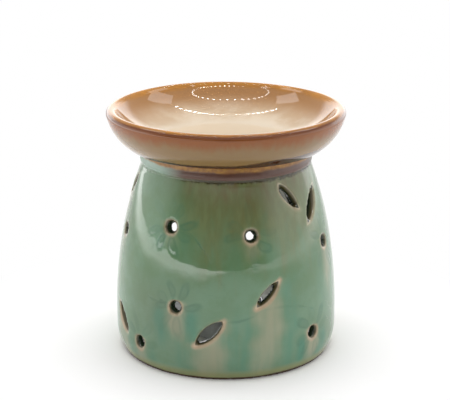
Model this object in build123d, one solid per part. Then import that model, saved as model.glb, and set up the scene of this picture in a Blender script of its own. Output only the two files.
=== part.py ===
from build123d import *
import math
import os

# Essential oil burner: a pierced ceramic chamber, a lift-off oil dish and the tea light that warms it.
# Millimetres. +Z is up, z = 0 is the table, the front is -Y and the candle door is on +Y.
# Angles on the wall are degrees from the front, positive towards +X.

# Chamber wall: it tucks in at the foot, stands upright round the belly and leans in to the neck
BELLY_RADIUS = 56.8
FOOT_TUCK = 3.6
FOOT_RISE = 12.5
BELLY_BAND = 8.5
SHOULDER_LEAN = 14.0
SHOULDER_RISE = 77.0
WALL = 4.2
FOOT_EDGE_ROUND = 0.8

# Chamber floor, raised inside a foot ring
FLOOR_THICKNESS = 4.5
FLOOR_CORNER_ROUND = 5.0
FOOT_RECESS = 1.5
FOOT_RING_WIDTH = 8.0

# Collar above the neck, with a flat land on top that carries the dish
COLLAR_RISE = 8.3
COLLAR_FLARE = 1.0
COLLAR_OUTER_ROUND = 1.8
COLLAR_INNER_ROUND = 1.0
NECK_ROUND = 2.0

# Pierced decoration: round flower centres that narrow inwards, and pointed leaves
FLOWER_HOLE = 6.4
FLOWER_HOLE_INSIDE = 4.6
LEAF_LENGTH = 18.5
LEAF_WIDTH = 6.0
# Angle, then height as a share of the wall's height
FLOWER_SHARES = (
    (-43.3, 0.769),
    (2.8, 0.743),
    (-37.2, 0.378),
    (-60.4, 0.138),
    (38.7, 0.191),
    (56.3, 0.626),
    (-85.7, 0.669),
    (84.0, 0.330),
    (103.0, 0.745),
    (128.0, 0.345),
    (-112.0, 0.360),
    (-128.0, 0.790),
)
# Angle, height as a share of the wall's height, tilt in degrees, then length and width as shares of a leaf's
LEAF_SHARES = (
    (-19.5, 0.257, 43.0, 1.00, 1.12),
    (10.6, 0.448, 42.0, 0.90, 0.88),
    (30.4, 0.902, -53.0, 0.88, 0.92),
    (50.0, 0.831, 49.0, 1.15, 1.00),
    (-77.7, 0.217, -49.0, 1.00, 1.00),
    (-95.5, 0.885, 50.0, 0.90, 0.95),
    (101.0, 0.475, -45.0, 0.95, 0.95),
    (119.0, 0.640, 42.0, 1.00, 1.00),
    (106.0, 0.165, 46.0, 0.92, 0.95),
    (-119.0, 0.600, -46.0, 0.95, 1.00),
    (-131.0, 0.215, 44.0, 1.00, 0.95),
)

# Oil dish: a flat-bottomed bowl with a foot ring that drops into the collar
DISH_OVERHANG = 5.7
DISH_FLARE = 10.9
DISH_RISE = 19.1
DISH_UNDERSIDE_BULGE = 2.0
RIM_THICKNESS = 4.0
DISH_FOOT_DEPTH = 4.0
DISH_FOOT_WIDTH = 4.0
DISH_FOOT_RECESS = 1.5
DISH_FLOOR_THICKNESS = 4.5
BOWL_FLAT_RADIUS = 30.0
DISH_CLEARANCE = 0.6

# Tea light: a pressed cup, the wax, the wick, and the disc and tube that hold the wick
CUP_RADIUS = 19.0
CUP_TAPER = 0.5
CUP_HEIGHT = 15.5
CUP_WALL = 0.4
CUP_BEAD = 0.6
CUP_BASE_RING = 4.5
CUP_BASE_STEP = 0.6
WAX_BELOW_RIM = 2.2
WAX_SHRINKAGE = 0.15
WICK_RADIUS = 0.8
WICK_STANDOUT = 7.5
SUSTAINER_RADIUS = 6.5
SUSTAINER_SHEET = 0.3
SUSTAINER_TUBE_RADIUS = 1.4
SUSTAINER_TUBE_RISE = 4.5
SUSTAINER_CLEARANCE = 0.1

# Candle door: an arch wide enough for the tea light and a finger on each side of it
DOOR_FINGER_ROOM = 7.0
DOOR_SPRING_RISE = 36.0

# How far a cut runs past the face that it opens
CUT_OVERRUN = 2.0

# Levels and radii that the pieces share
FOOT_RADIUS = BELLY_RADIUS - FOOT_TUCK
BELLY_TOP = FOOT_RISE + BELLY_BAND
NECK_RADIUS = BELLY_RADIUS - SHOULDER_LEAN
NECK_HEIGHT = BELLY_TOP + SHOULDER_RISE
COLLAR_RADIUS = NECK_RADIUS + COLLAR_FLARE
COLLAR_TOP = NECK_HEIGHT + COLLAR_RISE
MOUTH_RADIUS = NECK_RADIUS - WALL
FLOOR_TOP = FOOT_RECESS + FLOOR_THICKNESS
DOOR_WIDTH = 2 * (CUP_RADIUS + DOOR_FINGER_ROOM)


def turned(outline):
    """Turn a half section, drawn as radius and height, about the vertical axis."""
    return revolve(Plane.XZ * make_face(outline), Axis.Z)


def rounded(face, corners):
    """Round the corners of a half section that lie nearest to the given points."""
    for point, radius in corners:
        corner = face.vertices().sort_by_distance(Vector(*point))[0]
        face = fillet(corner, radius)
    return face


def wall_radius(height):
    """Outer radius of the chamber wall at a height."""
    if height > BELLY_TOP:
        rise, lean, away = SHOULDER_RISE, SHOULDER_LEAN, height - BELLY_TOP
    elif height < FOOT_RISE:
        rise, lean, away = FOOT_RISE, FOOT_TUCK, FOOT_RISE - height
    else:
        return BELLY_RADIUS
    arc_radius = (rise**2 + lean**2) / (2 * lean)
    return BELLY_RADIUS - arc_radius + math.sqrt(arc_radius**2 - away**2)


def wall_plane(angle, height):
    """Plane on the outside of the wall: x runs round to the right, y runs up and z points outwards."""
    turn = math.radians(angle)
    outward = Vector(math.sin(turn), -math.cos(turn), 0)
    across = Vector(math.cos(turn), math.sin(turn), 0)
    place = outward * wall_radius(height) + Vector(0, 0, height)
    return Plane(origin=place, x_dir=across, z_dir=outward)


def flower_hole(angle, height):
    """Cutter for a round hole that narrows towards the inside of the wall."""
    taper = (FLOWER_HOLE - FLOWER_HOLE_INSIDE) / (2 * WALL)
    cone = Cone(
        bottom_radius=FLOWER_HOLE_INSIDE / 2 - taper * CUT_OVERRUN,
        top_radius=FLOWER_HOLE / 2 + taper * CUT_OVERRUN,
        height=WALL + 2 * CUT_OVERRUN,
        align=(Align.CENTER, Align.CENTER, Align.MAX),
    )
    return wall_plane(angle, height) * Pos(0, 0, CUT_OVERRUN) * cone


def leaf_hole(angle, height, tilt, length, width):
    """Cutter for a pointed leaf, drawn as two arcs from tip to tip."""
    tip = length / 2
    edges = [
        ThreePointArc((-tip, 0), (0, width / 2), (tip, 0)),
        ThreePointArc((tip, 0), (0, -width / 2), (-tip, 0)),
    ]
    prism = extrude(make_face(edges), amount=2 * WALL, both=True)
    return wall_plane(angle, height) * Rot(0, 0, tilt) * prism


def candle_door():
    """Cutter for the arched door in the back of the wall, with its sill level with the floor."""
    side = DOOR_WIDTH / 2
    edges = [
        Line((-side, 0), (side, 0)),
        Line((side, 0), (side, DOOR_SPRING_RISE)),
        ThreePointArc((side, DOOR_SPRING_RISE), (0, DOOR_SPRING_RISE + side), (-side, DOOR_SPRING_RISE)),
        Line((-side, DOOR_SPRING_RISE), (-side, 0)),
    ]
    sill = Plane(origin=(0, 0, FLOOR_TOP), x_dir=(-1, 0, 0), z_dir=(0, 1, 0))
    return extrude(sill * make_face(edges), amount=BELLY_RADIUS + CUT_OVERRUN)


def burner_body():
    """The chamber: floor, pierced wall, neck and collar in one fired piece."""
    ring_inner = FOOT_RADIUS - FOOT_RING_WIDTH
    inner_belly = BELLY_RADIUS - WALL
    outline = [
        Line((ring_inner, 0), (FOOT_RADIUS, 0)),
        TangentArc((BELLY_RADIUS, FOOT_RISE), (FOOT_RADIUS, 0), tangent=(0, -1)),
        Line((BELLY_RADIUS, FOOT_RISE), (BELLY_RADIUS, BELLY_TOP)),
        TangentArc((BELLY_RADIUS, BELLY_TOP), (NECK_RADIUS, NECK_HEIGHT), tangent=(0, 1)),
        Line((NECK_RADIUS, NECK_HEIGHT), (COLLAR_RADIUS, COLLAR_TOP)),
        Line((COLLAR_RADIUS, COLLAR_TOP), (MOUTH_RADIUS, COLLAR_TOP)),
        Line((MOUTH_RADIUS, COLLAR_TOP), (MOUTH_RADIUS, NECK_HEIGHT)),
        TangentArc((inner_belly, BELLY_TOP), (MOUTH_RADIUS, NECK_HEIGHT), tangent=(0, 1)),
        Line((inner_belly, BELLY_TOP), (inner_belly, FLOOR_TOP)),
        Line((inner_belly, FLOOR_TOP), (0, FLOOR_TOP)),
        Line((0, FLOOR_TOP), (0, FOOT_RECESS)),
        Line((0, FOOT_RECESS), (ring_inner, FOOT_RECESS)),
        Line((ring_inner, FOOT_RECESS), (ring_inner, 0)),
    ]
    section = rounded(
        make_face(outline),
        [
            ((FOOT_RADIUS, 0), FOOT_EDGE_ROUND),
            ((NECK_RADIUS, NECK_HEIGHT), NECK_ROUND),
            ((COLLAR_RADIUS, COLLAR_TOP), COLLAR_OUTER_ROUND),
            ((MOUTH_RADIUS, COLLAR_TOP), COLLAR_INNER_ROUND),
            ((inner_belly, FLOOR_TOP), FLOOR_CORNER_ROUND),
        ],
    )
    shell = revolve(Plane.XZ * section, Axis.Z)
    cuts = [candle_door()]
    for angle, height_share in FLOWER_SHARES:
        cuts.append(flower_hole(angle, height_share * NECK_HEIGHT))
    for angle, height_share, tilt, length_share, width_share in LEAF_SHARES:
        length = length_share * LEAF_LENGTH
        width = width_share * LEAF_WIDTH
        cuts.append(leaf_hole(angle, height_share * NECK_HEIGHT, tilt, length, width))
    return shell - cuts


def oil_dish():
    """The bowl: its flat underside rests on the collar and its foot ring locates it in the mouth."""
    foot_radius = MOUTH_RADIUS - DISH_CLEARANCE
    foot_inner = foot_radius - DISH_FOOT_WIDTH
    foot_bottom = COLLAR_TOP - DISH_FOOT_DEPTH
    floor_under = foot_bottom + DISH_FOOT_RECESS
    bowl_floor = floor_under + DISH_FLOOR_THICKNESS
    underside_radius = COLLAR_RADIUS + DISH_OVERHANG
    rim_outer = underside_radius + DISH_FLARE
    rim_inner = rim_outer - RIM_THICKNESS
    rim_top = COLLAR_TOP + DISH_RISE
    rim_base = rim_top - RIM_THICKNESS / 2
    rim_middle = rim_outer - RIM_THICKNESS / 2
    outline = [
        Line((0, floor_under), (foot_inner, floor_under)),
        Line((foot_inner, floor_under), (foot_inner, foot_bottom)),
        Line((foot_inner, foot_bottom), (foot_radius, foot_bottom)),
        Line((foot_radius, foot_bottom), (foot_radius, COLLAR_TOP)),
        Line((foot_radius, COLLAR_TOP), (underside_radius, COLLAR_TOP)),
        SagittaArc((underside_radius, COLLAR_TOP), (rim_outer, rim_base), -DISH_UNDERSIDE_BULGE),
        TangentArc((rim_outer, rim_base), (rim_middle, rim_top), tangent=(0, 1)),
        TangentArc((rim_inner, rim_base), (rim_middle, rim_top), tangent=(0, 1)),
        TangentArc((BOWL_FLAT_RADIUS, bowl_floor), (rim_inner, rim_base), tangent=(1, 0)),
        Line((BOWL_FLAT_RADIUS, bowl_floor), (0, bowl_floor)),
        Line((0, bowl_floor), (0, floor_under)),
    ]
    return turned(outline)


def tealight_cup():
    """The pressed cup: a ring that stands on the chamber floor, a raised base and a rolled bead at the rim."""
    base_radius = CUP_RADIUS - CUP_TAPER
    step_radius = base_radius - CUP_BASE_RING
    rim = FLOOR_TOP + CUP_HEIGHT
    ring_top = FLOOR_TOP + CUP_WALL
    step_under = FLOOR_TOP + CUP_BASE_STEP
    step_top = step_under + CUP_WALL
    outline = Polyline(
        (0, step_under),
        (step_radius, step_under),
        (step_radius, FLOOR_TOP),
        (base_radius, FLOOR_TOP),
        (CUP_RADIUS, rim - CUP_BEAD),
        (CUP_RADIUS + CUP_BEAD, rim - CUP_BEAD),
        (CUP_RADIUS + CUP_BEAD, rim),
        (CUP_RADIUS - CUP_WALL, rim),
        (base_radius - CUP_WALL, ring_top),
        (step_radius + CUP_WALL, ring_top),
        (step_radius + CUP_WALL, step_top),
        (0, step_top),
        close=True,
    )
    bead_corner = CUP_BEAD / 2
    section = rounded(
        make_face(outline),
        [((CUP_RADIUS + CUP_BEAD, rim), bead_corner), ((CUP_RADIUS + CUP_BEAD, rim - CUP_BEAD), bead_corner / 2)],
    )
    return revolve(Plane.XZ * section, Axis.Z)


def wax_level():
    """Height of the top of the wax."""
    return FLOOR_TOP + CUP_HEIGHT - WAX_BELOW_RIM


def sustainer_base():
    """Height of the raised base that the sustainer's disc lies on."""
    return FLOOR_TOP + CUP_BASE_STEP + CUP_WALL


def tealight_wax():
    """The wax: it fills the cup and leaves room for the sustainer and the wick."""
    bottom = sustainer_base()
    top = wax_level()
    disc_top = bottom + SUSTAINER_SHEET + SUSTAINER_CLEARANCE
    tube_top = disc_top + SUSTAINER_TUBE_RISE
    disc_room = SUSTAINER_RADIUS + SUSTAINER_CLEARANCE
    tube_room = SUSTAINER_TUBE_RADIUS + SUSTAINER_CLEARANCE
    wick_room = WICK_RADIUS + SUSTAINER_CLEARANCE
    taper = CUP_TAPER / (CUP_HEIGHT - CUP_BEAD)
    inside = CUP_RADIUS - CUP_TAPER - CUP_WALL - WAX_SHRINKAGE
    outline = Polyline(
        (disc_room, bottom),
        (inside + taper * (bottom - FLOOR_TOP - CUP_WALL), bottom),
        (inside + taper * (top - FLOOR_TOP - CUP_WALL), top),
        (wick_room, top),
        (wick_room, tube_top),
        (tube_room, tube_top),
        (tube_room, disc_top),
        (disc_room, disc_top),
        close=True,
    )
    return turned(outline)


def wick_sustainer():
    """The tin disc under the wax, with the tube that grips the wick."""
    base = sustainer_base()
    sheet_top = base + SUSTAINER_SHEET
    tube_top = sheet_top + SUSTAINER_TUBE_RISE
    bore = WICK_RADIUS + SUSTAINER_CLEARANCE
    outline = Polyline(
        (bore, base),
        (SUSTAINER_RADIUS, base),
        (SUSTAINER_RADIUS, sheet_top),
        (SUSTAINER_TUBE_RADIUS, sheet_top),
        (SUSTAINER_TUBE_RADIUS, tube_top),
        (bore, tube_top),
        close=True,
    )
    return turned(outline)


def tealight_wick():
    """The wick: it stands on the base of the cup, runs up the tube and out of the wax."""
    base = sustainer_base()
    tip = wax_level() + WICK_STANDOUT
    stem = Cylinder(WICK_RADIUS, tip - base, align=(Align.CENTER, Align.CENTER, Align.MIN))
    return Pos(0, 0, base) * stem


os.makedirs("parts", exist_ok=True)
for piece in (burner_body, oil_dish, tealight_cup, tealight_wax, wick_sustainer, tealight_wick):
    export_step(piece(), f"parts/{piece.__name__}.step")
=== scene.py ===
import bpy
import bmesh
import math
import numpy as np
from functools import partial
from mathutils import Matrix, Vector


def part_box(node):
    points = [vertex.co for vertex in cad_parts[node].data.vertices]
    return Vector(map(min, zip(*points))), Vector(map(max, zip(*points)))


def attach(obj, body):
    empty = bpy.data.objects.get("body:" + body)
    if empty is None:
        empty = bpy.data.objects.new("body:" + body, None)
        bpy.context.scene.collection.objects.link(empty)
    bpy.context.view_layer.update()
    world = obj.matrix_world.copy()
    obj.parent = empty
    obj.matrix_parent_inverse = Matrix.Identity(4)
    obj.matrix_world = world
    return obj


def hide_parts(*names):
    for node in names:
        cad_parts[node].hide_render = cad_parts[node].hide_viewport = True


# An essential oil burner in reactive glazes: a green pierced chamber, a beige dish and a tea light.
# Sizes in the dictionaries are millimetres. Angles are degrees from the front, positive to the right.

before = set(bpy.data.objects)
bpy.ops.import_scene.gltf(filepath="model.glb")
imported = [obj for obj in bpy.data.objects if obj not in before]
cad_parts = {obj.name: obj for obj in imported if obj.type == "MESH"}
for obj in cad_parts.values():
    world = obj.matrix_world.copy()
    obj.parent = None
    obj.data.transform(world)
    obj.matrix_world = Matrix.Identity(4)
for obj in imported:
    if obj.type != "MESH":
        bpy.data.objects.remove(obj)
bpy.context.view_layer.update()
mm = 0.001
farOff = 40.0  # stands for no hole or line nearby
scene = bpy.context.scene
scene.view_settings.view_transform = "Standard"


def linearColour(hexCode):
    # sRGB hex to the linear values that shaders work in
    channels = [int(hexCode[i:i + 2], 16) / 255 for i in (1, 3, 5)]
    return [c / 12.92 if c <= 0.04045 else ((c + 0.055) / 1.055) ** 2.4 for c in channels] + [1.0]


def addNode(tree, kind, inputs=None, **settings):
    # one shader node with its settings, and a value or a link for each input; gives its first output
    node = tree.nodes.new("ShaderNode" + kind)
    for key, value in settings.items():
        setattr(node, key, value)
    for key, value in (inputs or {}).items():
        if isinstance(key, int):
            socket = node.inputs[key]
        else:
            socket = next(s for s in node.inputs if s.enabled and s.name == key)
        if isinstance(value, bpy.types.NodeSocket):
            tree.links.new(value, socket)
        else:
            socket.default_value = value
    return next((s for s in node.outputs if s.enabled), node)


def newMaterial(name):
    # a material, the function that adds a node to it, and the place on the object in millimetres
    material = bpy.data.materials.new(name)
    material.use_nodes = True
    material.node_tree.nodes.clear()
    add = partial(addNode, material.node_tree)
    onObject = add("TexCoord").node.outputs["Object"]
    return material, add, add("VectorMath", {0: onObject, "Scale": 1 / mm}, operation="SCALE")


def newMesh(name, build):
    bm = bmesh.new()
    build(bm)
    mesh = bpy.data.meshes.new(name)
    bm.to_mesh(mesh)
    bm.free()
    return mesh


def newObject(name, data):
    made = bpy.data.objects.new(name, data)
    scene.collection.objects.link(made)
    return made


def newPiece(name, mesh, material, body, node):
    mesh.materials.clear()
    mesh.materials.append(material)
    mesh.shade_smooth()
    piece = newObject(name, mesh)
    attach(piece, body)
    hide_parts(node)


def drawSection(bm, start, runs):
    # a half section in the xz plane: straight runs to (radius, height), and compass arcs (centre, turn, steps)
    pen = bm.verts.new((start[0] * mm, 0, start[1] * mm))
    for run in runs:
        if len(run) == 2:
            tip = bm.verts.new((run[0] * mm, 0, run[1] * mm))
            bm.edges.new((pen, tip))
            pen = tip
        else:
            centre, turn, steps = run
            arc = bmesh.ops.spin(bm, geom=[pen], cent=(centre[0] * mm, 0, centre[1] * mm),
                                 axis=(0, -1, 0), angle=math.radians(turn), steps=steps)
            pen = next(g for g in arc["geom_last"] if isinstance(g, bmesh.types.BMVert))


def turnSection(bm, steps):
    # the section turned once round the burner's axis, as on a wheel
    bmesh.ops.spin(bm, geom=bm.verts[:] + bm.edges[:], cent=(0, 0, 0), axis=(0, 0, 1),
                   angle=math.tau, steps=steps, use_merge=True)
    bmesh.ops.remove_doubles(bm, verts=bm.verts[:], dist=0.004 * mm)
    bmesh.ops.recalc_face_normals(bm, faces=bm.faces[:])


def meshPoints(mesh):
    # the mesh's points in millimetres, with the angle from the front and the distance from the axis
    points = np.empty(len(mesh.vertices) * 3)
    mesh.vertices.foreach_get("co", points)
    points = points.reshape(-1, 3) / mm
    theta = np.degrees(np.arctan2(points[:, 0], -points[:, 1]))
    return points, theta, np.hypot(points[:, 0], points[:, 1]), points[:, 2]


def placePoints(mesh, points):
    mesh.vertices.foreach_set("co", (points * mm).ravel())
    mesh.update()


def storeOnPoints(mesh, **marks):
    # a value for each point under each name, for the material to read
    for name, values in marks.items():
        mesh.attributes.new(name, "FLOAT", "POINT").data.foreach_set("value", values.astype(np.float32))


def smoothStep(low, high, values):
    t = np.clip((values - low) / (high - low), 0, 1)
    return t * t * (3 - 2 * t)


def mixGlaze(name, glaze):
    # a glaze from its recipe: marks stored on the points and noise, masks worked out from them,
    # colours blended by the masks and laid over each other, then the gloss and the relief
    material, add, place = newMaterial(name)
    split = add("SeparateXYZ", {0: place}).node
    reads = {"sideways": split.outputs[0], "height": split.outputs[2]}
    for mark in glaze["marks"]:
        reads[mark] = add("Attribute", attribute_name=mark).node.outputs["Fac"]
    for noise, (size, detail, rough) in glaze["noise"].items():
        scaled = add("Mapping", {"Vector": place, "Scale": [1 / side for side in size]})
        reads[noise] = add("TexNoise", {"Vector": scaled, "Scale": 1.0, "Detail": detail, "Roughness": rough})
    edges = {"soft": "SMOOTHSTEP", "straight": "LINEAR"}
    ends = ("Value", "From Min", "From Max", "To Max", "To Min")
    for mask, (way, *given) in glaze["masks"].items():
        given = [reads.get(item, item) for item in given]
        if way in edges:
            reads[mask] = add("MapRange", dict(zip(ends, given)), interpolation_type=edges[way])
        else:
            reads[mask] = add("Math", dict(enumerate(given)), operation=way.upper())
    paints = {paint: linearColour(code) for paint, code in glaze["colours"].items()}
    for paint, (mask, under, over) in glaze["blends"].items():
        inputs = {"Factor": reads[mask], "A": paints[under], "B": paints[over]}
        paints[paint] = add("Mix", inputs, data_type="RGBA")
    coat = paints["ground"]
    for mask, paint in glaze["coats"]:
        coat = add("Mix", {"Factor": reads[mask], "A": coat, "B": paints[paint]}, data_type="RGBA")
    gloss = glaze["roughness"]
    for mask, rough in glaze["dulled"]:
        gloss = add("Mix", {"Factor": reads[mask], "A": gloss, "B": rough})
    bump = add("Bump", {"Height": reads["relief"], "Distance": mm, "Strength": 1.0})
    inputs = {"Base Color": coat, "Roughness": gloss, "IOR": glaze["index"], "Normal": bump}
    add("OutputMaterial", {"Surface": add("BsdfPrincipled", inputs)})
    return material


# Camera at the photograph's place
photoView = {"stand": (-134.06, -687.04, 290.0), "pitch": 17.0, "turn": -11.0, "lens": 114.56, "sensor": 36.0}

camera = bpy.data.cameras.new("photoCamera")
camera.sensor_width = photoView["sensor"]
camera.sensor_fit = "HORIZONTAL"
camera.lens = photoView["lens"]
cameraObject = newObject("photoCamera", camera)
cameraObject.location = Vector(photoView["stand"]) * mm
cameraObject.rotation_euler = (math.radians(90 - photoView["pitch"]), 0, math.radians(photoView["turn"]))
scene.camera = cameraObject
print("camera placed")

# Chamber: the pierced green body, thrown, cut by hand and glazed
chamber = {
    "footTuck": 3.6, "footRise": 12.5, "footRecess": 1.5, "footRing": 8.0,
    "bellyTop": 21.0, "neckRadius": 42.8, "neckHeight": 98.0, "wall": 4.2,
    "floorTop": 6.0, "floorRound": 5.0,
    "collarRadius": 43.8, "collarRound": 1.8, "mouthRound": 1.0,
    "collarRun": [(0.1, 1.0), (-1.0, 5.2), (-0.5, 6.0)],  # out from the collar's radius, and up from the neck
    "creaseDepth": 0.5, "creaseRise": 0.2, "creaseHalf": 0.8, "creaseReach": 2.0,
    "turnSteps": 160, "voxel": 1.04, "smoothRounds": 3, "wobble": 0.12,
}
chamber["bellyRadius"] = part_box("burner_body")[1][0] / mm
chamber["collarTop"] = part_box("burner_body")[1][2] / mm
shoulderLean = chamber["bellyRadius"] - chamber["neckRadius"]
shoulderRise = chamber["neckHeight"] - chamber["bellyTop"]
shoulderArc = (shoulderRise ** 2 + shoulderLean ** 2) / (2 * shoulderLean)
footArc = (chamber["footRise"] ** 2 + chamber["footTuck"] ** 2) / (2 * chamber["footTuck"])

# how the remeshed walls are put back to their cut shapes; each pair is where that starts and where it is full
trueing = {
    "holeReach": 1.1, "wallReach": 0.9,  # a point this near to a hole's side, or to a face of the wall, belongs to it
    "softEdge": (0.3, 1.3),  # depth below the outside
    "holeClear": (0.7, 2.0), "doorClear": (0.2, 1.2),
    "neck": (97.0, 95.5), "foot": (1.5, 3.0), "floor": (11.0, 13.0),
    "flatFoot": 0.45, "topGap": 0.05,
}
flowerHoles = {
    "outside": 6.7, "inside": 3.3,
    "petals": 8, "petalBase": 4.4, "petalTip": (11.5, 15.5), "petalHalfWidth": (1.9, 2.7),
    "petalFirst": 102, "petalStray": (-9, 9), "petalPress": (0.2, 1.0),
    "runHalf": 4.4, "poolOff": 8.5, "poolHalf": 3.6,
    "places": [  # angle, height, length of the pale run below it, how pale
        (-43.3, 75.4, 15, 0.75), (2.8, 72.8, 17, 0.75), (-37.2, 37.0, 21, 1.5), (-60.4, 13.5, 14, 0.9),
        (38.7, 18.7, 18, 1.6), (56.3, 61.3, 34, 0.8), (-85.7, 65.6, 16, 0.6), (84.0, 32.3, 22, 0.8),
        (103.0, 73.0, 18, 0.7), (128.0, 33.8, 24, 0.9), (-112.0, 35.3, 20, 0.9), (-128.0, 77.4, 22, 0.7),
    ],
}
leafHoles = {
    "innerLength": 0.86,  # share of the length that is left at the inside, as the knife slants in
    "knifeMark": 0.5,  # the painted shade of the wall starts deeper in a leaf than in a round hole
    "markReach": 2.0, "runEdge": (6.5, -4.5), "poolOff": 6.0, "poolHalf": 3.8,
    # angle, height, tilt, length, width, share of the width at the inside, length of the pale run, how pale
    "places": [
        (-19.5, 25.2, 43, 20.2, 6.7, 0.75, 46, 1.0), (10.6, 43.9, 44, 18.2, 5.3, 0.4, 66, 1.0),
        (30.4, 88.4, -53, 17.8, 5.5, 0.4, 16, 0.35), (50.0, 81.4, 49, 22.8, 6.0, 0.45, 18, 0.4),
        (-77.7, 21.3, -49, 18.5, 6.0, 0.5, 34, 0.8), (-95.5, 86.7, 50, 16.6, 5.7, 0.5, 24, 0.7),
        (101.0, 46.5, -45, 17.6, 5.7, 0.5, 50, 0.9), (119.0, 62.7, 42, 18.5, 6.0, 0.5, 30, 0.8),
        (106.0, 16.2, 46, 17.0, 5.7, 0.5, 24, 0.9), (-119.0, 58.8, -46, 17.6, 6.0, 0.5, 42, 0.9),
        (-131.0, 21.1, 44, 18.5, 5.7, 0.5, 34, 0.9),
    ],
}
stems = [  # scratched lines that join flowers and leaves: angle and height at each end, and the sag between
    (-9.0, 31.5, 2.0, 33.5, 0.6), (11.0, 36.5, 31.0, 34.0, -1.0), (-52.0, 38.5, -43.5, 38.2, 0.5),
    (-35.0, 74.6, -25.0, 68.6, -1.0), (63.0, 72.0, 57.0, 66.0, 0.5), (-72.0, 27.0, -64.0, 18.0, 0.8),
    (88.0, 36.0, 95.0, 42.0, 0.5), (-112.0, 40.0, -117.0, 51.0, 0.6), (108.0, 70.0, 115.0, 67.0, 0.4),
]
candleDoor = {"halfWidth": 26.0, "springRise": 36.0, "archSteps": 32}


def wallRadius(height):
    # outside of the wall: upright at the belly, one long arc in to the neck and a short one in to the foot
    above = np.clip(height - chamber["bellyTop"], 0, shoulderRise)
    below = np.clip(chamber["footRise"] - height, 0, chamber["footRise"])
    lean = shoulderArc - np.sqrt(shoulderArc ** 2 - above ** 2)
    tuck = footArc - np.sqrt(footArc ** 2 - below ** 2)
    return chamber["bellyRadius"] - lean - tuck


def wallLean(height):
    # how far the wall leans back from upright, in radians
    lean = np.clip(height - chamber["bellyTop"], 0, None) / shoulderArc
    return np.arcsin(np.clip(lean, 0, 1)) - np.arcsin(np.clip(chamber["footRise"] - height, 0, None) / footArc)


def drawChamber(bm):
    c = chamber
    belly = c["bellyRadius"]
    footRadius = belly - c["footTuck"]
    shoulderCentre = (belly - shoulderArc, c["bellyTop"])
    shoulderTurn = math.degrees(math.asin(shoulderRise / shoulderArc))
    footTurn = math.degrees(math.asin(c["footRise"] / footArc))
    mouth = c["neckRadius"] - c["wall"]
    collar = [(c["collarRadius"] + out, c["neckHeight"] + up) for out, up in c["collarRun"]]
    lipCentre = (collar[-1][0] - c["collarRound"], c["collarTop"] - c["collarRound"])
    mouthCentre = (mouth + c["mouthRound"], c["collarTop"] - c["mouthRound"])
    cornerCentre = (belly - c["wall"] - c["floorRound"], c["floorTop"] + c["floorRound"])
    drawSection(bm, (0, c["footRecess"]), [
        (footRadius - c["footRing"], c["footRecess"]),
        (footRadius - c["footRing"], 0),
        (footRadius, 0),
        ((belly - footArc, c["footRise"]), footTurn, 8),
        (belly, c["bellyTop"]),
        (shoulderCentre, shoulderTurn, 24),
        *collar,
        (collar[-1][0], lipCentre[1]),
        (lipCentre, 90, 6),
        (mouthCentre[0], c["collarTop"]),
        (mouthCentre, 90, 5),
        (mouth, c["neckHeight"]),
        (shoulderCentre, -shoulderTurn, 24),
        (belly - c["wall"], cornerCentre[1]),
        (cornerCentre, -90, 6),
        (0, c["floorTop"]),
    ])
    turnSection(bm, c["turnSteps"])


def wallMatrix(angle, height):
    # a place on the wall: x to the right, y up along the wall and z square out of it
    turn = math.radians(angle)
    lean = wallLean(height)
    outward = Vector((math.sin(turn), -math.cos(turn), 0))
    across = Vector((math.cos(turn), math.sin(turn), 0))
    square = outward * math.cos(lean) + Vector((0, 0, math.sin(lean)))
    place = (outward * wallRadius(height) + Vector((0, 0, height))) * mm
    return Matrix.Translation(place) @ Matrix((across, square.cross(across), square)).transposed().to_4x4()


def growCutter(bm, face, move, matrix, taper=(1, 1)):
    # a flat outline drawn out to a solid, narrower at its far end, and put in its place
    outline = face.verts[:]
    grown = bmesh.ops.extrude_face_region(bm, geom=[face], use_keep_orig=True)["geom"]
    ends = [g for g in grown if isinstance(g, bmesh.types.BMVert)]
    bmesh.ops.scale(bm, verts=ends, vec=(*taper, 1))
    bmesh.ops.translate(bm, verts=ends, vec=move)
    bmesh.ops.transform(bm, matrix=matrix, verts=outline + ends)


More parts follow.
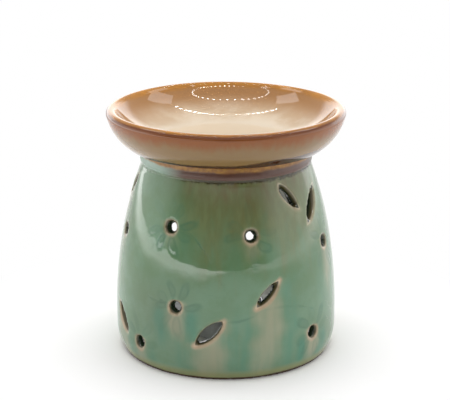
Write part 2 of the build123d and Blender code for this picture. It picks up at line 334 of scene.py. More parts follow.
def drawCutters(bm):
    wall = chamber["wall"]
    wide, narrow = flowerHoles["outside"], flowerHoles["inside"]
    taper = (wide - narrow) / (2 * wall)
    for angle, height, *_ in flowerHoles["places"]:
        bmesh.ops.create_cone(bm, cap_ends=True, segments=32, depth=2 * wall * mm,
                              radius1=(narrow - taper * wall) / 2 * mm, radius2=(wide + taper * wall) / 2 * mm,
                              matrix=wallMatrix(angle, height) @ Matrix.Translation((0, 0, -wall / 2 * mm)))
    for angle, height, tilt, length, width, inner, *_ in leafHoles["places"]:
        ring = bmesh.ops.create_circle(bm, cap_ends=True, segments=48, radius=length / 2 * mm)["verts"]
        arc = (length ** 2 + width ** 2) / (4 * width)
        for vert in ring:  # the circle pressed to a leaf with two pointed ends
            half = math.sqrt(arc ** 2 - (vert.co.x / mm) ** 2) - (arc - width / 2)
            vert.co.y = math.copysign(max(half, 0), vert.co.y) * mm
        bmesh.ops.remove_doubles(bm, verts=ring, dist=0.01 * mm)
        ring = [v for v in ring if v.is_valid]
        # half the wall outside the surface to half the wall past the inside, on the knife's slant
        shares = (leafHoles["innerLength"], inner)
        growth = [1 + 0.5 * (1 - left) for left in shares]
        shrink = [(left - 0.5 * (1 - left)) / grow for left, grow in zip(shares, growth)]
        bmesh.ops.scale(bm, verts=ring, vec=(*growth, 1))
        bmesh.ops.translate(bm, verts=ring, vec=(0, 0, 0.5 * wall * mm))
        growCutter(bm, ring[0].link_faces[0], (0, 0, -2 * wall * mm),
                   wallMatrix(angle, height) @ Matrix.Rotation(math.radians(tilt), 4, "Z"), shrink)
    side = candleDoor["halfWidth"]
    sill = chamber["floorTop"]
    spring = sill + candleDoor["springRise"]
    arch = ((0, spring), 180, candleDoor["archSteps"])
    drawSection(bm, (-side, sill), [(side, sill), (side, spring), arch, (-side, sill)])
    outline = [e for e in bm.edges if not e.link_faces]
    bmesh.ops.remove_doubles(bm, verts=list({v for e in outline for v in e.verts}), dist=0.01 * mm)
    outline = [e for e in bm.edges if not e.link_faces]
    door = bmesh.ops.contextual_create(bm, geom=outline)["faces"][0]
    growCutter(bm, door, (0, 1.5 * chamber["bellyRadius"] * mm, 0), Matrix.Identity(4))
    bmesh.ops.recalc_face_normals(bm, faces=bm.faces[:])


def pierceChamber():
    # the turned shell less its holes, remeshed so that the edges go soft as they do under glaze
    shell = newObject("turnedShell", newMesh("turnedShell", drawChamber))
    cutters = newObject("holeCutters", newMesh("holeCutters", drawCutters))
    pierce = shell.modifiers.new("pierce", "BOOLEAN")
    pierce.operation = "DIFFERENCE"
    pierce.solver = "EXACT"
    pierce.object = cutters
    soften = shell.modifiers.new("soften", "REMESH")
    soften.mode = "VOXEL"
    soften.voxel_size = chamber["voxel"] * mm
    mesh = bpy.data.meshes.new_from_object(shell.evaluated_get(bpy.context.evaluated_depsgraph_get()))
    for helper in (shell, cutters):
        bpy.data.objects.remove(helper)
    bm = bmesh.new()
    bm.from_mesh(mesh)
    for _ in range(chamber["smoothRounds"]):
        bmesh.ops.smooth_vert(bm, verts=bm.verts[:], factor=0.5, use_axis_x=True, use_axis_y=True, use_axis_z=True)
    bm.to_mesh(mesh)
    bm.free()
    return mesh


def onWall(theta, z, angle, height):
    # millimetres to the right of a place on the unrolled wall, and above it
    return np.radians((theta - angle + 180) % 360 - 180) * wallRadius(height), z - height


def turned(du, dv, tilt):
    # the same along and across a line that is tilted up to the right
    t = math.radians(tilt)
    return du * math.cos(t) + dv * math.sin(t), dv * math.cos(t) - du * math.sin(t)


def leafGap(along, across, length, width):
    # distance from a leaf's outline, negative inside the hole, and the way off it
    arc = (length ** 2 + width ** 2) / (4 * width)
    lift = np.abs(across) + arc - width / 2
    reach = np.hypot(along, lift)
    tip = np.hypot(np.abs(along) - length / 2, across)
    side = reach - arc
    gap = np.where(np.abs(along) < length / 2, side, np.maximum(side, tip))
    return gap, along / reach, np.sign(across) * lift / reach


def nearestHole(theta, z, depth):
    # distance to the nearest hole's wall on the unrolled chamber, and the way off it to the right and upwards
    gap = np.full(len(z), farOff)
    right, up = np.zeros((2, len(z)))
    share = np.clip(depth / chamber["wall"], 0, 1)
    wide, narrow = flowerHoles["outside"], flowerHoles["inside"]
    for angle, height, *_ in flowerHoles["places"]:
        du, dv = onWall(theta, z + depth * math.tan(wallLean(height)), angle, height)
        reach = np.maximum(np.hypot(du, dv), 1e-6)
        here = reach - wide / 2 + share * (wide - narrow) / 2
        near = here < gap
        gap[near], right[near], up[near] = here[near], (du / reach)[near], (dv / reach)[near]
    for angle, height, tilt, length, width, inner, *_ in leafHoles["places"]:
        du, dv = onWall(theta, z + depth * math.tan(wallLean(height)), angle, height)
        here, along, across = leafGap(*turned(du, dv, tilt), length * (1 - share * (1 - leafHoles["innerLength"])),
                                      width * (1 - share * (1 - inner)))
        near = here < gap
        toRight, upward = turned(along, across, -tilt)
        gap[near], right[near], up[near] = here[near], toRight[near], upward[near]
    return gap, right, up


def doorGap(points):
    # the same for the candle door, which is cut straight through from the back
    spring = chamber["floorTop"] + candleDoor["springRise"]
    x, z = points[:, 0], points[:, 2]
    gap = np.where(z > spring, np.hypot(x, z - spring), np.abs(x)) - candleDoor["halfWidth"]
    gap = np.where(z < chamber["floorTop"], np.hypot(np.maximum(gap, 0), chamber["floorTop"] - z), gap)
    return np.where(points[:, 1] > 0, gap, farOff)


def trueWalls(mesh):
    # the remeshed walls and hole sides brought back to their cut shapes, soft only at the outer edges,
    # and the outside given a thrower's slight wobble
    points, theta, radius, z = meshPoints(mesh)
    wall = chamber["wall"]
    depth = wallRadius(z) - radius
    gap, right, up = nearestHole(theta, z, depth)
    door = doorGap(points)
    below = smoothStep(*trueing["neck"], z)
    offInner = np.abs(depth - wall)
    onHole = np.abs(gap) < np.minimum(trueing["holeReach"], offInner)
    onHole &= (depth > trueing["softEdge"][0]) & (depth < wall)
    share = onHole * smoothStep(*trueing["softEdge"], depth)
    turn = np.radians(theta)
    points[:, 0] -= share * gap * right * np.cos(turn)
    points[:, 1] -= share * gap * right * np.sin(turn)
    points[:, 2] -= share * gap * up
    waves = 0.6 * np.sin(3 * turn + 0.7) * np.sin(z / 19) + 0.4 * np.sin(5 * turn) * np.cos(z / 11)
    onOuter = (np.abs(depth) < trueing["wallReach"]) * smoothStep(*trueing["holeClear"], np.minimum(gap, door))
    onInner = (offInner < trueing["wallReach"]) * ~onHole * smoothStep(*trueing["doorClear"], door)
    onOuter = onOuter * below * smoothStep(*trueing["foot"], z)
    onInner = onInner * below * smoothStep(*trueing["floor"], z)
    shift = onOuter * (depth + chamber["wobble"] * (waves - 1)) + onInner * (depth - wall)
    points[:, :2] *= (1 + shift / np.maximum(radius, 1e-6))[:, None]
    creaseRun = (z - chamber["neckHeight"] - chamber["creaseRise"]) / chamber["creaseHalf"]
    crease = chamber["creaseDepth"] * np.exp(-creaseRun ** 2) * (depth < chamber["creaseReach"])
    points[:, :2] *= (1 - crease / np.maximum(radius, 1))[:, None]
    points[:, 2] = np.minimum(points[:, 2], chamber["collarTop"] - trueing["topGap"])
    points[z < trueing["flatFoot"], 2] = 0
    placePoints(mesh, points)


def glazeMarks(mesh):
    # where the glaze runs pale below a hole, where it pools, where a flower is scratched round a hole
    points, theta, radius, z = meshPoints(mesh)
    run, pool, firm = np.zeros((3, len(z)))
    petal, stem = np.full((2, len(z)), farOff)
    hand = np.random.default_rng(11)
    flower, leaf = flowerHoles, leafHoles
    for number, (angle, height, length, pale) in enumerate(flower["places"]):
        du, dv = onWall(theta, z, angle, height)
        sway = du - 0.7 * np.sin(z * 0.3 + number)
        fade = smoothStep(length, 0.35 * length, -dv) * smoothStep(4.5, 1.5, dv)
        run = np.maximum(run, pale * fade * np.exp(-(sway / flower["runHalf"]) ** 2))
        fade = smoothStep(1.3 * length, 0.4 * length, -dv) * smoothStep(3, -6, dv)
        beside = np.exp(-((np.abs(sway) - flower["poolOff"]) / flower["poolHalf"]) ** 2)
        pool = np.maximum(pool, pale ** 2 * fade * beside)
        for step in range(flower["petals"]):
            turn = flower["petalFirst"] + 360 * step / flower["petals"] + hand.uniform(*flower["petalStray"])
            tip = hand.uniform(*flower["petalTip"])
            wide = hand.uniform(*flower["petalHalfWidth"])
            press = hand.uniform(*flower["petalPress"])
            half = (tip - flower["petalBase"]) / 2
            along, across = turned(du, dv, turn)
            along = (along - tip + half) / half
            across = across + 0.5 * np.sin(along * 2.2 + 3 * press)
            here = (np.hypot(along, across / (wide * (0.82 + 0.2 * np.clip(along, -1.5, 1.5)))) - 1) * wide
            near = np.abs(here) < np.abs(petal)
            petal[near], firm[near] = here[near], press
    # depth in a leaf hole's wall is counted shallower, so that its painted shade starts deeper in
    shallow = np.ones(len(z))
    for number, (angle, height, tilt, length, width, _, drop, pale) in enumerate(leaf["places"]):
        du, dv = onWall(theta, z, angle, height)
        shallow[leafGap(*turned(du, dv, tilt), length, width)[0] < leaf["markReach"]] = leaf["knifeMark"]
        span = length / 2 * math.cos(math.radians(tilt))
        below = math.tan(math.radians(tilt)) * np.clip(du, -span, span) - dv
        sway = np.abs(du - 1.2 * np.sin(z * 0.22 + 2 * number) - 0.8 * np.sin(z * 0.51 + number)) - span
        fade = smoothStep(drop, 0.25 * drop, below) * smoothStep(-3.5, 0.5, below)
        run = np.maximum(run, pale * fade * smoothStep(*leaf["runEdge"], sway))
        fade = smoothStep(drop, 0.5 * drop, below) * smoothStep(-6, 6, below)
        beside = np.exp(-((sway - leaf["poolOff"]) / leaf["poolHalf"]) ** 2)
        pool = np.maximum(pool, pale ** 3 * fade * beside)
    for fromAngle, fromHeight, toAngle, toHeight, sag in stems:
        du, dv = onWall(theta, z, 0.5 * (fromAngle + toAngle), fromHeight)
        half = math.radians(abs(toAngle - fromAngle) / 2) * wallRadius(fromHeight)
        along = du * math.copysign(1, toAngle - fromAngle) / half
        line = (toHeight - fromHeight) * (along + 1) / 2 - sag * (1 - along ** 2)
        gap = (dv - line) / math.hypot(1, (toHeight - fromHeight) / (2 * half))
        past = np.copysign(np.hypot(gap, (np.abs(along) - 1) * half), gap)
        gap = np.where(np.abs(along) > 1, past, gap)
        stem = np.where(np.abs(gap) < np.abs(stem), gap, stem)
    depth = wallRadius(z) - radius
    storeOnPoints(mesh, paleRun=run, glazePool=pool, petalGap=petal, petalFirm=firm, stemGap=stem,
                  holeGap=np.minimum(nearestHole(theta, z, 0 * depth)[0], doorGap(points)),
                  wallDepth=np.where(depth < 4, depth * shallow, depth))


chamberMesh = pierceChamber()
trueWalls(chamberMesh)
glazeMarks(chamberMesh)
print("chamber turned and pierced:", len(chamberMesh.vertices), "points")

# Celadon glaze over buff stoneware, dipped and fired: glossy as glass, thin and pale where it runs off an edge,
# deep green where it pools, olive to brown near the collar, with bare clay under the foot and on the seat.
# Painted shade darkens the deep hole walls, the leaf tips that the soft mesh closes, and the bare foot.
greenGlaze = {
    "colours": {
        "jade": "#5b7a56", "seaGreen": "#688a6e", "olive": "#676e48", "oliveBrown": "#6c5f40",
        "thread": "#748058", "pool": "#4d836a", "pale": "#aba086", "thinEdge": "#d2c7ac",
        "blush": "#bf9f82", "edgeWall": "#5a5135", "scratch": "#3a6650", "footBand": "#8e8c55",
        "collarMauve": "#52301f", "collarAmber": "#845405", "collarGold": "#a4741c", "crease": "#2e2703",
        # the near-black hole wall colour is painted shade deep inside the holes
        "turquoise": "#7f9886", "holeWallShade": "#1d2e1e", "inside": "#e6e8e2", "bareClay": "#33200c",
        # bareClay and clayGrit are painted darker than seatClay, the same clay: painted contact shade along the foot
        "clayGrit": "#573c22", "seatClay": "#8a6a4c",
    },
    "roughness": 0.035,
    "index": 1.55,
    "marks": ("paleRun", "glazePool", "stemGap", "holeGap", "wallDepth", "petalGap", "petalFirm"),
    "noise": {  # size across, deep and up, detail, roughness
        "runs": ((5, 5, 40), 3, 0.55),
        "broad": ((10, 10, 80), 2, 0.5),
        "clouds": ((14, 14, 14), 4, 0.6),
        "fine": ((2.2, 2.2, 2.2), 3, 0.6),
        "ripple": ((11, 11, 11), 1, 0.5),
        "threads": ((2.6, 2.6, 120), 2, 0.5),
    },
    "masks": dict(  # a sum with its terms, or an edge with its value, where it starts and is full, most and least
        # sea green low down, jade in the middle, olive and brown runs towards the collar
        cloudy=("soft", "clouds", 0.35, 0.65),
        low=("soft", "height", 62, 28, 0.5),
        lowCloudy=("multiply_add", "cloudy", 0.5, "low"),
        runHeight=("multiply_add", "runs", 46, "height"),
        offMiddle=("subtract", "sideways", 4),
        aside=("absolute", "offMiddle"),
        across=("soft", "aside", 42, 22),
        upper=("soft", "runHeight", 72, 112, "across"),
        brownMost=("multiply", "across", 0.8),
        brown=("soft", "runHeight", 108, 132, "brownMost"),
        # thin threads of jade and brown in the olive
        threadMost=("multiply", "upper", 0.4),
        thready=("soft", "threads", 0.42, 0.7, "threadMost"),
        # pools beside the runs, then the pale runs themselves, broken up by the streaks
        poolMost=("straight", "runs", 0.3, 0.6, 0.6, 0.2),
        pooled=("multiply", "glazePool", "poolMost"),
        streaks=("add", "broad", "runs"),
        streaky=("multiply_add", "streaks", -0.7, "paleRun"),
        paleMost=("straight", "paleRun", 0, 0.25, 0.56),
        streaked=("soft", "streaky", -0.7, 0.6, "paleMost"),
        # flowers and stems scratched by hand: the glaze pools dark in the lines, and faintly inside some petals
        petalLine=("absolute", "petalGap"),
        stemLine=("absolute", "stemGap"),
        nearest=("minimum", "petalLine", "stemLine"),
        shaky=("multiply_add", "fine", 0.7, "nearest"),
        pressed=("straight", "clouds", 0.38, 0.62, 1, 0.1),
        isStem=("less_than", "stemLine", 1.5),
        firm=("maximum", "petalFirm", "isStem"),
        pressedFirm=("multiply", "pressed", "firm"),
        onOutside=("straight", "wallDepth", 2, 1),
        scratchMost=("multiply", "pressedFirm", "onOutside"),
        scratch=("soft", "shaky", 1.55, 0.35, "scratchMost"),
        firmOutside=("multiply", "petalFirm", "onOutside"),
        fillMost=("multiply", "firmOutside", 0.32),
        filled=("soft", "petalGap", 0.6, -1, "fillMost"),
        inked=("multiply_add", "scratch", 0.5, "filled"),
        # the collar, its crease, and the line above the foot
        ragged=("multiply_add", "clouds", 3, "height"),
        collar=("straight", "ragged", 99.2, 100.4),
        offCollar=("subtract", "sideways", 5),
        collarAside=("absolute", "offCollar"),
        collarEnds=("soft", "collarAside", 31, 43),
        gilded=("straight", "fine", 0.4, 0.65),
        amberLine=("straight", "ragged", 103.4, 104.4),
        drips=("multiply_add", "fine", 3, "ragged"),
        creaseTop=("straight", "height", 98.9, 98.3, 0.95),
        creaseSide=("straight", "sideways", -36, -20, 1, 0.15),
        creaseMost=("multiply", "creaseTop", "creaseSide"),
        crease=("soft", "drips", 99.5, 100.8, "creaseMost"),
        footBand=("soft", "height", 6.5, 2.5, 0.7),
        # thin edges of the holes, their walls with near-black painted shade deep in them, the inside, the wiped seat
        # and the bare foot
        cloudyGap=("multiply_add", "clouds", 2.6, "holeGap"),
        edgeGap=("multiply_add", "fine", 0.6, "cloudyGap"),
        blushMost=("straight", "paleRun", 0.1, 0.7, 0.8, 0.08),
        blush=("soft", "edgeGap", 4, 1.5, "blushMost"),
        thin=("soft", "holeGap", 0.6, 0.15, 0.3),
        # painted shade on the leaf tips that the soft mesh closes, as though they were open
        closedTipShade=("soft", "holeGap", 0, -0.45, 0.95),
        edgeWall=("soft", "wallDepth", 0.05, 0.6),
        holeWallShade=("soft", "wallDepth", 0.45, 1.5, 0.97),
        offHole=("straight", "holeGap", 0.3, 1.1),
        inside=("straight", "wallDepth", 3.5, 4, "offHole"),
        wiped=("straight", "height", chamber["collarTop"] - 0.6, chamber["collarTop"] - 0.2),
        # the bare foot's clay colours carry painted contact shade where the foot meets the table
        footEdge=("multiply_add", "clouds", 1.2, "height"),
        bare=("straight", "footEdge", 2.2, 1.6),
        unglazed=("maximum", "bare", "wiped"),
        # a ripple 11 mm from crest to crest, and the scratches pressed into it
        rippled=("multiply", "ripple", 0.1),
        relief=("multiply_add", "scratch", -0.06, "rippled"),
    ),
    "blends": {  # mask, colour under it, colour over it
        "ground": ("lowCloudy", "jade", "seaGreen"),
        "collarSide": ("collarEnds", "collarMauve", "turquoise"),
        "collarLip": ("gilded", "collarAmber", "collarGold"),
        "collarCoat": ("amberLine", "collarSide", "collarLip"),
        "grittyClay": ("fine", "bareClay", "clayGrit"),
    },
    "coats": [  # mask and colour, from the ground up
        ("upper", "olive"), ("brown", "oliveBrown"), ("thready", "thread"), ("pooled", "pool"),
        ("streaked", "pale"), ("inked", "scratch"), ("collar", "collarCoat"), ("crease", "crease"),
        ("footBand", "footBand"), ("blush", "blush"), ("thin", "thinEdge"), ("closedTipShade", "holeWallShade"),
        ("edgeWall", "edgeWall"), ("holeWallShade", "holeWallShade"), ("inside", "inside"), ("wiped", "seatClay"),
        ("bare", "grittyClay"),
    ],
    "dulled": [("inside", 0.3), ("collar", 0.3), ("crease", 0.08), ("unglazed", 0.75)],  # mask and roughness
}

newPiece("glazedChamber", chamberMesh, mixGlaze("celadonGlaze", greenGlaze), "burner", "burner_body")
print("chamber glazed")

# Dish: the beige bowl that sits on the collar
dish = {
    "footInner": 34.0, "footOuter": 38.0, "footRecess": 1.5, "footRound": 0.8,
    "bowlRise": 2.0, "bowlEdge": 0.07, "bowlSteps": 46,
    "bowlDishing": 0.3,  # share of the bowl's rise that is an even hollow; the rest is the upturn at its wall
    "bowlUpturn": 6,
    "underside": 49.5, "bulge": 2.0,
    "rimHalf": 2.8,
    "rimTurn": 144,  # the rim rolls in until it meets the slope of the bowl
    "rimSlope": 0.48,  # parts the outside from the bowl below the rim
    "turnSteps": 240, "wobble": 0.3,
}
dishLow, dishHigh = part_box("oil_dish")
dish["rimOuter"] = dishHigh[0] / mm
dish["rimTop"] = dishHigh[2] / mm
dish["footBottom"] = dishLow[2] / mm
dish["seat"] = chamber["collarTop"]


def drawDish(bm):
    d = dish
    rimBase = d["rimTop"] - d["rimHalf"]
    rimRoll = math.radians(d["rimTurn"])
    edge = (d["rimOuter"] - d["rimHalf"] * (1 - math.cos(rimRoll)), rimBase + d["rimHalf"] * math.sin(rimRoll))
    chord = Vector((d["rimOuter"] - d["underside"], rimBase - d["seat"]))
    outerArc = (chord.length ** 2 / 4 + d["bulge"] ** 2) / (2 * d["bulge"])
    middle = Vector((d["underside"], d["seat"])) + chord / 2
    outerCentre = middle + Vector((-chord.y, chord.x)).normalized() * (outerArc - d["bulge"])
    outerTurn = 2 * math.degrees(math.asin(chord.length / 2 / outerArc))
    floor = d["seat"] + d["bowlRise"]
    shares = 1 - np.linspace(d["bowlEdge"], 1, d["bowlSteps"]) ** 2
    lifts = d["bowlDishing"] * shares ** 2 + (1 - d["bowlDishing"]) * shares ** d["bowlUpturn"]
    bowl = [(edge[0] * share, floor + (edge[1] - floor) * lift) for share, lift in zip(shares, lifts)]
    bottom, seat, under = d["footBottom"], d["seat"], d["underside"]
    inner, outer, soft = d["footInner"], d["footOuter"], d["footRound"]
    drawSection(bm, (0, bottom + d["footRecess"]), [
        (inner - 0.4, bottom + d["footRecess"]),
        (inner + 0.3, bottom + 0.4),
        (inner + soft, bottom),
        (outer - soft, bottom),
        ((outer - soft, bottom + soft), 90, 4),
        (outer, seat - 0.6),
        (outer + 0.6, seat),
        (under - 6, seat),
        (under - 2, seat + 0.05),
        (under, seat + 0.15),
        (outerCentre, outerTurn, 20),
        ((d["rimOuter"] - d["rimHalf"], rimBase), d["rimTurn"], 14),
        *bowl,
    ])
    turnSection(bm, d["turnSteps"])


def settleDish(mesh):
    # the rim out of true by a fraction of a millimetre, and where each point then is on the section
    points, theta, radius, z = meshPoints(mesh)
    seat, top = dish["seat"], dish["rimTop"]
    rise = np.clip((z - seat) / (top - seat), 0, 1)
    z = z - rise ** 2 * dish["wobble"] * (1 + np.sin(np.radians(3 * theta + 70))) / 2
    shrink = dish["wobble"] * rise * (1 + np.sin(np.radians(2 * theta + 30))) / 2
    points[:, :2] *= (1 - shrink / np.maximum(radius, 1))[:, None]
    points[:, 2] = z
    placePoints(mesh, points)
    outside = (radius > dish["rimOuter"] - dish["rimHalf"] - (top - z) * dish["rimSlope"]) & (z > seat - 1)
    storeOnPoints(mesh, outside=outside | (z <= seat + 0.2), belowRim=top - z)


dishMesh = newMesh("glazedDish", drawDish)
settleDish(dishMesh)
print("dish turned:", len(dishMesh.vertices), "points")

# Honey glaze over the same clay: beige and pooled in the bowl, its floor paler with a painted reflection, burnt amber
# where it thins on the rim, red-brown at the ragged lower edge where it stops above the seat, darkened there with
# painted shade of the gap over the collar.
beigeGlaze = {
    "colours": {
        # the palest bowl colour is partly pooled glaze and partly a painted reflection of the bright back
        "bowl": "#bda587", "bowlCloud": "#cdbca4", "bowlPaleAndReflection": "#cfc1ab", "bowlSide": "#9d7040",
        "rim": "#b07418", "rimHot": "#5c2a02", "underRim": "#83480f", "under": "#82673f",
        # the lower edge's dark colour is partly the bare glaze edge and partly painted shade of the gap over the
        # collar
        "rawEdgeAndGapShade": "#381204", "bareClay": "#8a6a4c", "clayGrit": "#a58662",
    },
    "roughness": 0.03,
    "index": 1.55,
    "marks": ("outside", "belowRim"),
    "noise": {
        "clouds": ((16, 16, 16), 4, 0.6),
        "runs": ((5, 5, 16), 3, 0.55),
        "fine": ((1.6, 1.6, 1.6), 2, 0.5),
        "ripple": ((12, 12, 12), 1, 0.5),
    },
    "masks": dict(
        # the bowl: clouded beige, palest in the middle of its floor where the glaze has pooled, paler still with a
        # painted reflection of the bright back
        cloudy=("soft", "clouds", 0.35, 0.65),
        heartAndReflection=("soft", "belowRim", 13.6, 16.4),
        wallUp=("soft", "belowRim", 16, 4.5),
        # the outside: red-brown under the rim, beige lower down, a dark ragged edge at the bottom, bare where the
        # glaze stops and with painted shade of the gap over the collar, widest on the right
        lowerRun=("multiply_add", "runs", 7, "belowRim"),
        lower=("soft", "lowerRun", 7.5, 14),
        cloudEdge=("multiply_add", "clouds", 2, "belowRim"),
        fineEdge=("multiply_add", "fine", 0.8, "cloudEdge"),
        rightward=("soft", "sideways", -10, 16, 3.6, 1.2),
        raggedEdge=("add", "fineEdge", "rightward"),
        edgedAndGapShade=("straight", "raggedEdge", 19.4, 20.2, 0.92),
        # the rim: amber all round, burnt on its outer side
        onRim=("soft", "cloudEdge", 4.6, 2.2, 0.9),
        rimSide=("soft", "belowRim", 0, 1.6, "outside"),
        burnt=("multiply_add", "cloudy", 0.25, "rimSide"),
        # the glaze goes dull where it stops, and the foot that sits inside the collar is bare clay
        bare=("straight", "height", 106.1, 105.2),
        dull=("soft", "belowRim", 16.8, 18.6),
        relief=("multiply", "ripple", 0.02),
    ),
    "blends": {
        "cloudyBowl": ("cloudy", "bowl", "bowlCloud"),
        "pooledBowlAndReflection": ("heartAndReflection", "cloudyBowl", "bowlPaleAndReflection"),
        "wholeBowl": ("wallUp", "pooledBowlAndReflection", "bowlSide"),
        "runUnder": ("lower", "underRim", "under"),
        "wholeUnder": ("edgedAndGapShade", "runUnder", "rawEdgeAndGapShade"),
        "ground": ("outside", "wholeBowl", "wholeUnder"),
        "amber": ("burnt", "rim", "rimHot"),
        "grittyClay": ("fine", "bareClay", "clayGrit"),
    },
    "coats": [("onRim", "amber"), ("bare", "grittyClay")],
    "dulled": [("dull", 0.12)],
}

newPiece("glazedDish", dishMesh, mixGlaze("honeyGlaze", beigeGlaze), "dish", "oil_dish")
print("dish glazed")

# Tea light: a pressed cup, its wax, a twisted wick and the tin foot that holds the wick
teaLight = {
    "baseStep": 0.6, "baseRing": 4.5, "baseRound": 0.7, "sheet": 0.4, "taper": 0.5, "bead": 0.6,
    "flare": [(0.1, 4.0), (0.35, 11.0)],  # out from the foot of the wall, and up from the base
    "flutes": 60, "fluteDepth": 0.12, "fluteFade": (1.5, 4.0), "fluteInner": 15.0, "turnSteps": 480,
    "waxGap": 0.15, "meniscus": 0.35, "waxSteps": 96,
    "wickLobes": 3, "wickLobe": 0.14, "wickTurns": 5, "wickSteps": 48, "wickBend": 0.9, "wickDrop": 0.15,
}
cupLow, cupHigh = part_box("tealight_cup")
waxLow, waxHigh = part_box("tealight_wax")
wickLow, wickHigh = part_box("tealight_wick")


def drawCup(bm):
    t = teaLight
    rim = cupHigh[0] / mm - t["bead"]
    foot = rim - t["taper"]
    low, high = cupLow[2] / mm, cupHigh[2] / mm
    ring = foot - t["baseRing"]
    inner = foot - t["sheet"]
    drawSection(bm, (0, low + t["baseStep"]), [
        (ring - 0.5, low + t["baseStep"]),
        (ring, low),
        (foot - t["baseRound"], low),
        ((foot - t["baseRound"], low + t["baseRound"]), 90, 5),
        *[(foot + out, low + up) for out, up in t["flare"]],
        (rim, high - 2 * t["bead"]),
        ((rim, high - t["bead"]), 250, 12),
        (rim - t["sheet"], high - 1.4 * t["bead"]),
        *[(inner + out, low + up) for out, up in t["flare"][::-1]],
        (inner, low + 1.2),
        (inner - 0.3, low + 1.0),
        (0, low + 1.0),
    ])
    turnSection(bm, t["turnSteps"])


def pressFlutes(mesh):
    # shallow upright flutes in the cup's wall, fading out at the base and at the rolled rim
    t = teaLight
    points, theta, radius, z = meshPoints(mesh)
    fade = smoothStep(*t["fluteFade"], z - cupLow[2] / mm) * smoothStep(*t["fluteFade"], cupHigh[2] / mm - z)
    dent = t["fluteDepth"] * fade * (radius > t["fluteInner"]) * (1 - np.cos(np.radians(theta) * t["flutes"])) / 2
    points[:, :2] *= (1 - dent / np.maximum(radius, 1))[:, None]
    placePoints(mesh, points)


def drawWax(bm):
    t = teaLight
    low, high = waxLow[2] / mm, waxHigh[2] / mm
    top = waxHigh[0] / mm - t["waxGap"]
    drawSection(bm, (0, low + 0.05), [
        (top - 0.6, low + 0.05),
        (top - 0.45, low + 4),
        (top - 0.1, high - 1.2),
        (top, high),
        (top - 0.25, high),
        (top - 1.0, high - 0.6 * t["meniscus"]),
        (top - 2.4, high - t["meniscus"]),
        (6.0, high - t["meniscus"] - 0.1),
        (2.6, high - t["meniscus"]),
        (1.3, high - 0.1),
        (0.0, high - 0.1),
    ])
    turnSection(bm, t["waxSteps"])


def drawWick(bm):
    # a three-stranded cord, twisted as it is drawn up, leaning over a little at the tip
    t = teaLight
    low, high = wickLow[2] / mm, wickHigh[2] / mm
    ring = bmesh.ops.create_circle(bm, cap_ends=True, segments=24, radius=wickHigh[0])["verts"]
    for vert in ring:
        lobe = 1 - t["wickLobe"] + t["wickLobe"] * math.cos(t["wickLobes"] * math.atan2(vert.co.y, vert.co.x))
        vert.co.x *= lobe
        vert.co.y *= lobe
        vert.co.z = low * mm
    edges = list({e for v in ring for e in v.link_edges})
    rise = (high - low) / t["wickSteps"]
    turn = Matrix.Rotation(t["wickTurns"] * math.tau / t["wickSteps"], 3, "Z")
    for step in range(t["wickSteps"]):
        grown = bmesh.ops.extrude_edge_only(bm, edges=edges)["geom"]
        verts = [g for g in grown if isinstance(g, bmesh.types.BMVert)]
        edges = [g for g in grown if isinstance(g, bmesh.types.BMEdge) and all(v in verts for v in g.verts)]
        bmesh.ops.translate(bm, verts=verts, vec=(0, 0, rise * mm))
        bmesh.ops.rotate(bm, verts=verts, cent=(0, 0, 0), matrix=turn)
    bmesh.ops.contextual_create(bm, geom=edges)
    bmesh.ops.recalc_face_normals(bm, faces=bm.faces[:])
    above = waxHigh[2] / mm
    for vert in bm.verts:
        share = max(vert.co.z / mm - above, 0) / (high - above)
        vert.co.x -= t["wickBend"] * share ** 2 * mm
        vert.co.z -= t["wickDrop"] * share ** 2 * mm


def paintGrain(name, size, tones, satin, relief, finish, grain="TexNoise", output="Fac", **settings):
    # a material with one grain of a size across, deep and up, which its colour, gloss and relief follow
    material, add, place = newMaterial(name)
    scaled = add("Mapping", {"Vector": place, "Scale": [1 / side for side in size]})
    share = add(grain, {"Vector": scaled, "Scale": 1.0, **settings}).node.outputs[output]
    dark, light = [linearColour(tone) for tone in tones]
    finish["Base Color"] = add("Mix", {"Factor": share, "A": dark, "B": light}, data_type="RGBA")
    if satin:
        finish["Roughness"] = add("MapRange", {"Value": share, "To Min": satin[0], "To Max": satin[1]})
    if relief:
        finish["Normal"] = add("Bump", {"Height": share, "Distance": relief * mm, "Strength": 1.0})
    add("OutputMaterial", {"Surface": add("BsdfPrincipled", finish)})
    return material


# Aluminium sheet, deep drawn: bright and a little satin, with faint rolling lines round the cup
aluminium = paintGrain("drawnAluminium", (6, 6, 0.5), ("#bdbfc2", "#dcdde0"), (0.35, 0.55), 0.02,
                       {"Metallic": 1.0}, Detail=3.0)
# Paraffin wax, poured and set: white, softly translucent, with a faint frost
wax = paintGrain("paraffinWax", (3.5, 3.5, 3.5), ("#efebdf", "#f6f4ee"), (0.35, 0.6), 0.08,
                 {"IOR": 1.44, "Subsurface Weight": 0.25, "Subsurface Radius": (0.004, 0.0035, 0.003)},
                 Detail=4.0, Roughness=0.6)
# Cotton wick, plied and primed with wax: off-white and matt, its fibres about 0.2 mm across
cotton = paintGrain("pliedCotton", (0.2, 0.2, 1.5), ("#d8d0bc", "#f1ece0"), None, 0.06,
                    {"Roughness": 0.85, "Sheen Weight": 0.2}, Detail=2.0)
# Tinplate, stamped: grey and bright, with a fine crystal cloud about 1.2 mm across
tinplate = paintGrain("stampedTinplate", (1.2, 1.2, 1.2), ("#a9abab", "#c6c8c7"), (0.25, 0.45), None,
                      {"Metallic": 1.0}, grain="TexVoronoi", output="Color")

cupMesh = newMesh("teaLightCup", drawCup)
pressFlutes(cupMesh)
newPiece("teaLightCup", cupMesh, aluminium, "tealight", "tealight_cup")
newPiece("teaLightWax", newMesh("teaLightWax", drawWax), wax, "tealight", "tealight_wax")
newPiece("teaLightWick", newMesh("teaLightWick", drawWick), cotton, "tealight", "tealight_wick")
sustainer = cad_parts["wick_sustainer"]
sustainer.data.materials.clear()
sustainer.data.materials.append(tinplate)
print("tea light made")

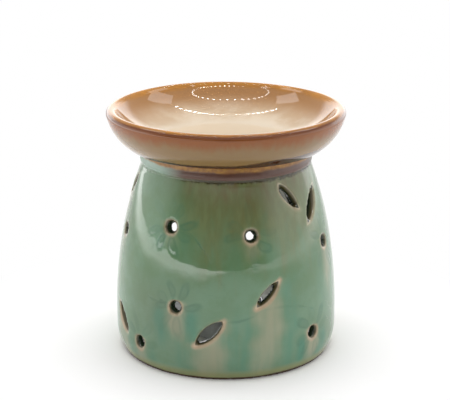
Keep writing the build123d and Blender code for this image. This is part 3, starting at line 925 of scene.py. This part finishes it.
# Studio: a white table, bright white sides and back, a softer top, and a dim room in front.
# The camera sees the tent, and the table away from the burner, as plain white; the glaze mirrors them as lit.
studio = {
    "floorHalf": 4000.0,
    "floor": "#f6f5f5",
    "sideGlow": (350.0, 900.0),  # the table is lit at both sides: where that starts and where it is full
    "sideShares": [(-1, 2.8), (1, 1.2)],  # left and right, how bright
    "whiteOut": (60.0, 160.0),  # how far from the middle the table starts to show as plain white, and is
    "roomFront": -20.0,
    "side": 1.6,
    "tent": [  # direction, the cosine from it where a part of the tent starts and is full, how bright
        ("front", 0.25, 0.75, 0.05), ("front", -0.57, -0.66, 2.4), ("up", 0.26, 0.42, 0.75),
    ],
    "panels": [  # name, place, width, power, whether the glaze mirrors it
        ("rightPanel", (500, 100, 700), 240, 0.42, True),
        ("leftPanel", (-360, 260, 700), 200, 0.32, True),
        ("topPanel", (0, 50, 750), 600, 1.9, False),
    ],
    "ring": ((-52, -96), (290, 154), -13.8, 46),  # middle, half width and depth, turn, how many bulbs
    "rows": [  # corners that a row of bulbs goes through, and how many
        ([(280, 249), (218, 347), (180, 430), (157, 502), (140, 555), (125, 588), (107, 599), (84, 586),
          (53, 555), (9, 508), (-49, 455), (-128, 402)], 23),
        ([(475, -170), (408, -204), (288, -256)], 5),
        ([(-430, -24), (-476, 33), (-519, 103)], 4),
    ],
    "bulbHeight": 700.0,
    "bulbShare": 0.155,  # radius of a bulb, as a share of the way to the next one
    "bulbGlow": 0.0023,  # power, for each square millimetre of that radius squared
    "aim": (0, 0, 60),
}
plainWhite = (1, 1, 1, 1)


def lightTent():
    world = bpy.data.worlds.new("lightTent")
    scene.world = world
    world.use_nodes = True
    world.node_tree.nodes.clear()
    add = partial(addNode, world.node_tree)
    turn = math.radians(studio["roomFront"])
    way = add("TexCoord").node.outputs["Generated"]
    front = add("VectorMath", {0: way, 1: (math.sin(turn), -math.cos(turn), 0)}, operation="DOT_PRODUCT")
    cosines = {"front": front.node.outputs["Value"], "up": add("SeparateXYZ", {0: way}).node.outputs[2]}
    light = studio["side"]
    for direction, start, full, glow in studio["tent"]:
        inputs = {"Value": cosines[direction], "From Min": start, "From Max": full}
        share = add("MapRange", inputs, interpolation_type="SMOOTHSTEP")
        light = add("Mix", {"Factor": share, "A": light, "B": glow})
    tent = add("Background", {"Color": plainWhite, "Strength": light})
    white = add("Background", {"Color": plainWhite, "Strength": 1.0})
    seen = add("LightPath").node.outputs["Is Camera Ray"]
    add("OutputWorld", {"Surface": add("MixShader", {0: seen, 1: tent, 2: white})})


def layFloor():
    material, add, place = newMaterial("whiteTable")
    matt = add("BsdfDiffuse", {"Color": linearColour(studio["floor"])})
    sideways = add("SeparateXYZ", {0: place}).node.outputs[0]
    start, full = studio["sideGlow"]
    glow = 0
    for side, most in studio["sideShares"]:
        inputs = {"Value": sideways, "From Min": side * start, "From Max": side * full, "To Max": most}
        share = add("MapRange", inputs, interpolation_type="SMOOTHSTEP")
        glow = add("Math", {0: glow, 1: share}, operation="ADD")
    lit = add("AddShader", {0: matt, 1: add("Emission", {"Color": plainWhite, "Strength": glow})})
    away = add("VectorMath", {0: place}, operation="LENGTH").node.outputs["Value"]
    start, full = studio["whiteOut"]
    seen = add("LightPath").node.outputs["Is Camera Ray"]
    inputs = {"Value": away, "From Min": start, "From Max": full, "To Max": seen}
    share = add("MapRange", inputs, interpolation_type="SMOOTHSTEP")
    white = add("Emission", {"Color": plainWhite, "Strength": 1.0})
    add("OutputMaterial", {"Surface": add("MixShader", {0: share, 1: lit, 2: white})})
    mesh = newMesh("whiteTable", lambda bm: bmesh.ops.create_circle(
        bm, cap_ends=True, segments=64, radius=studio["floorHalf"] * mm))
    mesh.materials.append(material)
    newObject("whiteTable", mesh)


def hangLamp(name, kind, place, power):
    lamp = newObject(name, bpy.data.lights.new(name, kind))
    lamp.data.energy = power
    lamp.location = Vector(place) * mm
    return lamp


def hangPanels():
    for name, place, size, power, mirrored in studio["panels"]:
        panel = hangLamp(name, "AREA", place, power)
        panel.data.shape = "SQUARE"
        panel.data.size = size * mm
        panel.visible_glossy = mirrored
        panel.rotation_euler = (Vector(place) - Vector(studio["aim"])).to_track_quat("Z", "Y").to_euler()


def hangBulbs():
    # a ring of small bulbs above and rows of them round it, which the glaze shows as rows of dots
    middle, halves, turn, count = studio["ring"]
    around = np.linspace(0, math.tau, count, endpoint=False)
    wide, deep = turned(halves[0] * np.cos(around), halves[1] * np.sin(around), -turn)
    lines = [(middle[0] + wide, middle[1] + deep)]
    for corners, count in studio["rows"]:
        steps = np.linspace(0, len(corners) - 1, count)
        lines.append([np.interp(steps, range(len(corners)), side) for side in zip(*corners)])
    for xs, ys in lines:
        for x, y, gap in zip(xs, ys, np.hypot(np.gradient(xs), np.gradient(ys))):
            radius = studio["bulbShare"] * gap
            bulb = hangLamp("bulb", "POINT", (x, y, studio["bulbHeight"]), studio["bulbGlow"] * radius ** 2)
            bulb.data.shadow_soft_size = radius * mm


lightTent()
layFloor()
hangBulbs()
hangPanels()
print("studio lit")
